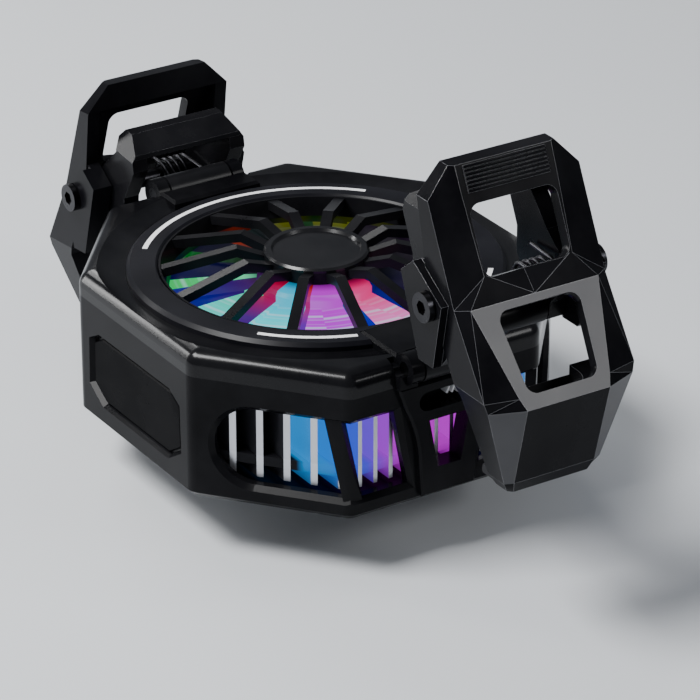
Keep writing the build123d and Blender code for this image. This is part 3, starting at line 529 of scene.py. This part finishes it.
def lit_blade(name, strength):
    """Clear blade plastic with the fan's light painted on as emission.

    Bright sectors of colour, dark sectors of painted shadow, and pale curved streaks of painted
    light.
    """
    paint = Paint(name, (0.008, 0.008, 0.01), 0.4, specular=0.1)
    turn, radius = turn_and_radius(paint)
    inner, outer, pale = (
        paint.ramp(turn, sector_stops(column), "CONSTANT")
        for column in (HUB_COLORS, RIM_COLORS, STREAK_LEVELS)
    )
    colors = paint.mix(paint.mapped(radius, *COLORS_TURN), inner, outer)
    wobble = paint.noise(scale=55.0, detail=2.0)
    drift = paint.noise(scale=150.0, detail=3.0, rough=0.6)
    broad = (radius * BROAD_WAVE + wobble * BROAD_BEND + BROAD_START).sine()
    fine = (radius * FINE_WAVE + wobble * FINE_BEND + drift * FINE_DRIFT).sine()
    waves = broad * BROAD_SHARE + fine * FINE_SHARE
    swirl = paint.mapped(waves, STREAK_FLOOR, 1.0, to_high=STREAK_PEAK)
    streaks = swirl * paint.mapped(radius, *STREAKS_START) * pale
    bright = paint.mix(streaks, colors, STREAK_COLOR)
    # the painted light, faded in round the hub
    paint.glow(paint.mapped(radius, *GLOW_STARTS), bright, strength)
    paint.feed("Roughness", paint.swung(wobble, swing=0.2))
    return paint.material


def lit_duct(name, strength):
    """The dark wall round the blades, with the light inside the duct painted on it as a faint tint.
    """
    paint = Paint(name, (0.01, 0.01, 0.012), 0.4, specular=0.2)
    turn, radius = turn_and_radius(paint)
    cloud = paint.noise(scale=160.0, detail=3.0, rough=0.6)
    tint = paint.ramp(turn, sector_stops(RIM_COLORS))
    # painted light only inside the duct, patchy by the noise
    inside = (radius < DUCT_LIGHT_ENDS) * paint.mapped(cloud, 0.2, 0.8, 0.1, 0.25)
    paint.glow(inside, tint, strength)
    paint.feed("Roughness", paint.swung(cloud, swing=0.3))
    return paint.material


def lit_fin(name, strength, edges=False):
    """Shaded dark metal behind the vents with the vent light painted on by how far along the side
    it stands, weaker lower down and none under the fan.

    With edges, bare strips in the fins' spacing show where the fins' edges pass, and the gaps
    between them take a darker painted shade."""
    paint = Paint(name, FIN_SIDE_SHADE, 0.35, metallic=0.9, specular=0.05)
    x, y, z = paint.axes()
    along = paint.mapped(y.absolute(), FIN_ENDS, 0.0)
    near = paint.ramp(along, VENT_LIGHT)
    far = paint.ramp(along, VENT_LIGHT_FAR)
    tint = paint.mix(paint.mapped(x, *SIDES_MEET), far, near)
    # the painted light grows weaker towards the bottom of the vents
    height = paint.mapped(z, *VENT_HEIGHTS, to_low=0.3)
    cloud = paint.noise(scale=160.0, detail=3.0, rough=0.6)
    # no painted light under the fan
    outside = paint.mapped((x * x + y * y).root(), *UNDER_FAN)
    share = height * outside * paint.mapped(cloud, 0.2, 0.8, to_low=0.85)
    if edges:
        place = (y / FIN_PITCH + PITCH_OFFSET).fraction()
        strip = (place - 0.5).absolute() < STRIP_HALF
        share = share * (1.0 - strip)
        # painted shade in the gaps between the bare strips
        paint.feed("Base Color", paint.mix(strip, FIN_GAP_SHADE, BARE_EDGE))
        paint.feed("Metallic", strip * 0.9)
    paint.glow(share, tint, strength)
    paint.feed("Roughness", paint.swung(cloud, swing=0.3))
    return paint.material


# Sizes and colours that a user may change


class ShellSettings(bpy.types.PropertyGroup):
    """The body's plastic."""

    color: FloatVectorProperty(
        name="Shell colour",
        description="Colour of the moulded body",
        default=(0.003, 0.003, 0.0038),
        subtype="COLOR",
        min=0.0,
        max=1.0,
    )
    gloss: FloatProperty(
        name="Roughness",
        description="How dull the body's plastic is",
        default=0.2,
        min=0.0,
        max=1.0,
        subtype="FACTOR",
    )


class LightSettings(bpy.types.PropertyGroup):
    """The light painted inside the fan."""

    blades: FloatProperty(
        name="Blade glow", description="Strength of the glow in the blades", default=1.0, min=0.0
    )
    depth: FloatProperty(
        name="Inner glow", description="Strength of the tint round the blades", default=1.0, min=0.0
    )
    vents: FloatProperty(
        name="Vent glow", description="Strength of the tint behind the vents", default=1.0, min=0.0
    )


class ClipSettings(bpy.types.PropertyGroup):
    """The clips' moulded edges."""

    edge: FloatProperty(
        name="Edge width",
        description="Width of the softened edges of levers and frames",
        default=0.22 * MM,
        unit="LENGTH",
        min=0.0,
    )
    segments: IntProperty(
        name="Edge steps", description="Faces across each softened edge", default=2, min=1, max=6
    )


class StageSettings(bpy.types.PropertyGroup):
    """The camera."""

    lens: FloatProperty(
        name="Lens", description="Focal length in millimetres", default=205.8, min=1.0
    )
    distance: FloatProperty(
        name="Distance",
        description="From the fan's foot to the camera",
        default=0.5564,
        unit="LENGTH",
        min=0.01,
    )
    azimuth: FloatProperty(
        name="Azimuth",
        description="The camera's side angle",
        default=math.radians(32.53),
        subtype="ANGLE",
    )
    elevation: FloatProperty(
        name="Elevation",
        description="The camera's height angle",
        default=math.radians(26.54),
        subtype="ANGLE",
    )


# Shapes


def dress(material, *names):
    """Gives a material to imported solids."""
    for name in names:
        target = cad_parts[name]
        target.data.materials.clear()
        target.data.materials.append(material)


def finish_piece(shape, name, materials, body):
    """Turns a bmesh into a named piece that rides on a body."""
    mesh = bpy.data.meshes.new(name)
    shape.to_mesh(mesh)
    shape.free()
    mesh.shade_smooth()
    mesh.set_sharp_from_angle(angle=math.radians(SHARP_ANGLE))
    for material in materials:
        mesh.materials.append(material)
    piece = bpy.data.objects.new(name, mesh)
    bpy.context.scene.collection.objects.link(piece)
    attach(piece, body)
    return piece


def even_facets(piece):
    """Keeps wide facets flat in the light while their narrow edges look round."""
    even = piece.modifiers.new("even_facets", "WEIGHTED_NORMAL")
    even.weight = 100
    even.keep_sharp = True
    return piece


def is_crease(edge):
    """Tells a corner between two wide facets, however shallow, or any steep corner."""
    if not edge.is_manifold:
        return False
    fold = math.degrees(edge.calc_face_angle(0.0))
    small = min(face.calc_area() for face in edge.link_faces)
    return fold > STEEP_CORNER or (fold > SHALLOW_CORNER and small > WIDE_FACET)


def softened(node, width, segments):
    """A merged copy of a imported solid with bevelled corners, which take the second material."""
    shape = bmesh.new()
    shape.from_mesh(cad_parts[node].data)
    bmesh.ops.remove_doubles(shape, verts=shape.verts, dist=MERGE_DISTANCE)
    bmesh.ops.dissolve_limit(
        shape,
        angle_limit=math.radians(FLAT_ANGLE),
        verts=shape.verts,
        edges=shape.edges,
        use_dissolve_boundaries=False,
    )
    bmesh.ops.bevel(
        shape,
        geom=[edge for edge in shape.edges if is_crease(edge)],
        offset=width,
        offset_type="OFFSET",
        affect="EDGES",
        segments=segments,
        profile=0.5,
        clamp_overlap=True,
        material=1,
    )
    return shape


def gets_painted_sheen(face, way):
    """Tells the lever faces painted greyer and glossier as a sheen from the light: its front plate
    and the jaw's two cheeks.

    The way is 1 for the right lever and -1 for the left one."""
    tilt = abs(face.normal.y)
    rise = face.normal.z
    wide = face.calc_area() > PLATE_AREA and face.normal.x * way > PLATE_OUTWARDS
    front = tilt < FRONT_TILT and FRONT_RISE[0] < rise < FRONT_RISE[1]
    cheek = CHEEK_TILT[0] < tilt < CHEEK_TILT[1] and rise < 0.0
    return wide and (front or cheek)


def block(shape, low, high, bevel, index=0, tilt=0.0):
    """Adds a softened box between two corners in millimetres, tilted about its own x axis."""
    size = [(b - a) * MM for a, b in zip(low, high)]
    middle = [(a + b) / 2 * MM for a, b in zip(low, high)]
    verts = bmesh.ops.create_cube(shape, size=1.0)["verts"]
    turn = Matrix.Rotation(math.radians(tilt), 3, "X")
    bmesh.ops.scale(shape, vec=size, verts=verts)
    bmesh.ops.rotate(shape, cent=ORIGIN, matrix=turn, verts=verts)
    bmesh.ops.translate(shape, vec=middle, verts=verts)
    faces = {face for vert in verts for face in vert.link_faces}
    for face in faces:
        face.material_index = index
    edges = list({edge for face in faces for edge in face.edges})
    bmesh.ops.bevel(
        shape,
        geom=edges,
        offset=bevel * MM,
        affect="EDGES",
        segments=2,
        profile=0.5,
        material=-1,
    )


def slot_ribs(way):
    """A dark backing with short slanted ribs for the long slot in a clip boss.

    The way is 1 for the right boss and -1 for the left one."""
    shape = bmesh.new()
    block(shape, *SLOT_BACKING, SLOT_BACKING_BEVEL)
    for index in range(RIB_COUNT):
        middle = RIB_FIRST + RIB_STEP * index
        rise = RIB_HALF_HEIGHT + RIB_GROWTH * index
        low = (RIB_REACH[0], middle - RIB_HALF_WIDTH, RIB_MIDDLE - rise)
        high = (RIB_REACH[1], middle + RIB_HALF_WIDTH, RIB_MIDDLE + rise)
        block(shape, low, high, RIB_BEVEL, index=1, tilt=RIB_TILT)
    if way < 0.0:
        half_turn = Matrix.Rotation(math.pi, 3, "Z")
        bmesh.ops.rotate(shape, cent=ORIGIN, matrix=half_turn, verts=shape.verts)
    return shape


def motor_cup():
    """The cup over the motor, spun from its outline."""
    shape = bmesh.new()
    points = [shape.verts.new((radius * MM, 0.0, height * MM)) for radius, height in CUP_OUTLINE]
    edges = [shape.edges.new((points[index - 1], points[index])) for index in range(len(points))]
    bmesh.ops.spin(
        shape,
        geom=points + edges,
        cent=ORIGIN,
        axis=(0.0, 0.0, 1.0),
        angle=2 * math.pi,
        steps=CUP_STEPS,
        use_merge=True,
    )
    bmesh.ops.remove_doubles(shape, verts=shape.verts, dist=MERGE_DISTANCE)
    bmesh.ops.recalc_face_normals(shape, faces=shape.faces)
    return shape


def add_blade(sheet, blade, tip):
    """Adds one blade as a bent grid: it runs out to the tip and rises a little as it turns."""
    out_cells, turn_cells = BLADE_CELLS
    made = bmesh.ops.create_grid(sheet, x_segments=out_cells, y_segments=turn_cells, size=0.5)
    pitch = 360.0 / BLADES
    for vert in made["verts"]:
        out = vert.co.x + 0.5
        turn = vert.co.y + 0.5
        radius = (BLADE_ROOT + (tip - BLADE_ROOT) * out) * MM
        swept = BLADE_SWEEP * out * out
        angle = math.radians(BLADE_START + pitch * (blade + turn * BLADE_OVERLAP) + swept)
        arch = BLADE_ARCH * math.sin(math.pi * turn)
        height = (BLADE_HEIGHT + BLADE_RISE * turn + arch) * MM
        vert.co = (radius * math.cos(angle), radius * math.sin(angle), height)


def wide_rotor(tip):
    """The motor cup with wide, flat blades whose ends overlap a little, seen from above."""
    shape = motor_cup()
    sheet = bmesh.new()
    for blade in range(BLADES):
        add_blade(sheet, blade, tip)
    bmesh.ops.recalc_face_normals(sheet, faces=sheet.faces)
    bmesh.ops.solidify(sheet, geom=sheet.faces[:], thickness=BLADE_THICKNESS * MM)
    bmesh.ops.recalc_face_normals(sheet, faces=sheet.faces)
    mesh = bpy.data.meshes.new("blade_sheets")
    sheet.to_mesh(mesh)
    sheet.free()
    shape.from_mesh(mesh)
    bpy.data.meshes.remove(mesh)
    return shape


def painted_sink():
    """A copy of the heat sink: the fins' sides in the second material, the base in the third."""
    shape = bmesh.new()
    shape.from_mesh(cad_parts["heat_sink"].data)
    for face in shape.faces:
        inner = max(abs(vert.co.y) for vert in face.verts) < FIN_SIDES_END
        if abs(face.normal.y) > FIN_SIDE_FACING and inner:
            face.material_index = 1
        elif face.calc_center_median().z < SINK_BASE_TOP:
            face.material_index = 2
    return shape


# Steps


class COOLER_OT_shell(bpy.types.Operator):
    """Finish the body's outer shell"""

    bl_idname = "cooler.shell"
    bl_label = "Shell"

    def execute(self, context):
        settings = context.scene.cooler_shell
        color = tuple(settings.color)
        shell = moulded("shell_plastic", color, settings.gloss, SHELL_MIRROR)
        dress(shell, "lower_housing", "bracket_right", "bracket_left", "bottom_cover")
        shoulder = moulded("shoulder_polish", color, SHOULDER_ROUGHNESS, SHOULDER_MIRROR)
        dress(shoulder, "top_shell")
        dress(plastic("panel_gloss"), "side_panel_front", "side_panel_back")
        ribs = plastic("slot_rib_white")
        backing = plastic("slot_black")
        for name, way in (("slot_ribs_right", 1.0), ("slot_ribs_left", -1.0)):
            finish_piece(slot_ribs(way), name, (backing, ribs), "body")
        return {"FINISHED"}


class COOLER_OT_ring(bpy.types.Operator):
    """Finish the flat ring and its stripes"""

    bl_idname = "cooler.ring"
    bl_label = "Ring"

    def execute(self, context):
        dress(plastic("ring_satin"), "label_ring")
        dress(plastic("stripe_white"), "ring_stripes")
        return {"FINISHED"}


class COOLER_OT_grille(bpy.types.Operator):
    """Finish the grille and the hub cap"""

    bl_idname = "cooler.grille"
    bl_label = "Grille"

    def execute(self, context):
        dress(plastic("grille_satin"), "grille")
        dress(plastic("cap_satin"), "hub_cap")
        return {"FINISHED"}


class COOLER_OT_fan(bpy.types.Operator):
    """Make the lit rotor, and finish the fan and the space round it"""

    bl_idname = "cooler.fan"
    bl_label = "Fan"

    def execute(self, context):
        light = context.scene.cooler_light
        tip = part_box("fan_rotor")[1][0] / MM
        glowing = lit_blade("lit_blades", light.blades)
        rotor = finish_piece(wide_rotor(tip), "rotor_lit", (glowing,), "fan")
        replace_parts(rotor, "fan_rotor")
        dress(lit_duct("lit_duct", light.depth), "fan_frame")
        dress(metal("shaft_steel"), "fan_shaft")
        dress(metal("bearing_bronze"), "shaft_bearing")
        dress(metal("copper_wire"), "stator_coils")
        dress(metal("magnet_dark"), "rotor_magnet")
        dress(circuit_board("board_green"), "led_board", "control_board")
        dress(light_chip("chip_white"), "led_chips")
        return {"FINISHED"}


class COOLER_OT_sink(bpy.types.Operator):
    """Finish the heat sink and the cold side"""

    bl_idname = "cooler.sink"
    bl_label = "Heat sink and cold side"

    def execute(self, context):
        light = context.scene.cooler_light
        edge = metal("fin_edge")
        # the fins' sides and base: a shaded copy of the sink's metal with the vent light painted on
        side = lit_fin("fin_side", light.vents)
        base = lit_fin("sink_base", light.vents, edges=True)
        materials = (edge, side, base)
        sink = finish_piece(painted_sink(), "heat_sink_lit", materials, "body")
        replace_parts(sink, "heat_sink")
        dress(metal("cold_aluminium"), "cold_plate")
        dress(rubbery("pad_grey", PAD_GREY), "contact_pad")
        dress(plastic("ceramic_white"), "peltier_module")
        dress(metal("steel"), "bottom_screws", "usb_socket")
        return {"FINISHED"}


class COOLER_OT_clips(bpy.types.Operator):
    """Make the levers and frames with soft edges, and finish the clips"""

    bl_idname = "cooler.clips"
    bl_label = "Clips"

    def execute(self, context):
        settings = context.scene.cooler_clip
        lever = plastic("lever_plastic")
        plate = plastic("lever_sheen_paint")
        # the bevels take a painted highlight
        edge = plastic("edge_highlight_paint")
        inner = plastic("frame_plastic")
        link = plastic("link_plastic")
        dark = metal("dark_steel")
        spring = metal("spring_steel")
        rubber = rubbery("pad_rubber", PAD_BLACK)
        for side, way in (("right", 1.0), ("left", -1.0)):
            shape = softened(f"clip_lever_{side}", settings.edge, settings.segments)
            # faces chosen by the way they face take the painted sheen
            for face in shape.faces:
                if gets_painted_sheen(face, way):
                    face.material_index = 2
            materials = (lever, edge, plate)
            piece = finish_piece(shape, f"lever_{side}", materials, f"lever_{side}")
            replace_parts(even_facets(piece), f"clip_lever_{side}")
            shape = softened(f"clip_frame_{side}", settings.edge, settings.segments)
            materials = (inner, edge)
            piece = finish_piece(shape, f"frame_{side}", materials, f"frame_{side}")
            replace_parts(even_facets(piece), f"clip_frame_{side}")
            dress(link, f"clip_link_{side}")
            dress(dark, f"lever_pin_{side}", f"frame_pin_{side}", f"link_pin_{side}")
            dress(spring, f"torsion_spring_{side}")
            dress(rubber, f"jaw_pad_{side}")
        return {"FINISHED"}


class COOLER_OT_stage(bpy.types.Operator):
    """Set up the floor, the lights and the camera"""

    bl_idname = "cooler.stage"
    bl_label = "Stage"

    def add_floor(self, scene):
        shape = bmesh.new()
        bmesh.ops.create_grid(shape, x_segments=2, y_segments=2, size=FLOOR_REACH)
        under = (0.0, 0.0, CAD_BOX[0][2] - FLOOR_GAP)
        bmesh.ops.translate(shape, verts=shape.verts, vec=under)
        mesh = bpy.data.meshes.new("floor")
        shape.to_mesh(mesh)
        shape.free()
        mesh.materials.append(floor_paper("floor_paper"))
        floor = bpy.data.objects.new("floor", mesh)
        scene.collection.objects.link(floor)

    def add_world(self, scene):
        world = bpy.data.worlds.new("studio")
        world.use_nodes = True
        background = world.node_tree.nodes["Background"]
        background.inputs["Color"].default_value = WORLD_COLOR
        background.inputs["Strength"].default_value = WORLD_STRENGTH
        scene.world = world

    def add_softbox(self, scene, name, place, target, size, power):
        lamp = bpy.data.lights.new(name, "AREA")
        lamp.shape = "RECTANGLE"
        lamp.size, lamp.size_y = size
        lamp.energy = power
        holder = bpy.data.objects.new(name, lamp)
        aim = (Vector(target) - Vector(place)).to_track_quat("-Z", "Y")
        holder.matrix_world = Matrix.LocRotScale(Vector(place), aim, None)
        scene.collection.objects.link(holder)

    def add_camera(self, scene):
        settings = scene.cooler_stage
        side, rise = settings.azimuth, settings.elevation
        flat = math.cos(rise)
        back = Vector((math.cos(side) * flat, -math.sin(side) * flat, math.sin(rise)))
        right = Vector((math.sin(side), math.cos(side), 0.0))
        up = back.cross(right)
        lens = bpy.data.cameras.new("camera")
        lens.lens = settings.lens
        lens.sensor_width = SENSOR_WIDTH
        lens.clip_start = NEAR_CLIP
        camera = bpy.data.objects.new("camera", lens)
        turn = Matrix((right, up, back)).transposed().to_4x4()
        foot = Vector((0.0, 0.0, FRAME_FOOT))
        shift = right * CAMERA_SHIFT[0] + up * CAMERA_SHIFT[1] + foot
        camera.matrix_world = Matrix.Translation(shift + back * settings.distance) @ turn
        scene.collection.objects.link(camera)
        scene.camera = camera

    def execute(self, context):
        self.add_floor(context.scene)
        self.add_world(context.scene)
        for softbox in SOFTBOXES:
            self.add_softbox(context.scene, *softbox)
        self.add_camera(context.scene)
        return {"FINISHED"}


STEPS = ("shell", "ring", "grille", "fan", "sink", "clips", "stage")


class COOLER_PT_panel(bpy.types.Panel):
    """Lists the steps and their settings"""

    bl_idname = "COOLER_PT_panel"
    bl_label = "Phone cooling fan"
    bl_space_type = "VIEW_3D"
    bl_region_type = "UI"
    bl_category = "Cooler"

    def draw(self, context):
        for name, group in GROUPS.items():
            column = self.layout.column(align=True)
            for setting in group.__annotations__:
                column.prop(getattr(context.scene, name), setting)
        column = self.layout.column(align=True)
        for step in STEPS:
            column.operator(f"cooler.{step}")


GROUPS = {
    "cooler_shell": ShellSettings,
    "cooler_light": LightSettings,
    "cooler_clip": ClipSettings,
    "cooler_stage": StageSettings,
}

CLASSES = (
    *GROUPS.values(),
    COOLER_OT_shell,
    COOLER_OT_ring,
    COOLER_OT_grille,
    COOLER_OT_fan,
    COOLER_OT_sink,
    COOLER_OT_clips,
    COOLER_OT_stage,
    COOLER_PT_panel,
)


def register():
    for item in CLASSES:
        bpy.utils.register_class(item)
    for name, group in GROUPS.items():
        setattr(bpy.types.Scene, name, PointerProperty(type=group))


def unregister():
    for name in GROUPS:
        delattr(bpy.types.Scene, name)
    for item in reversed(CLASSES):
        bpy.utils.unregister_class(item)


def main():
    register()
    for step in STEPS:
        getattr(bpy.ops.cooler, step)()


if __name__ == "__main__":
    main()
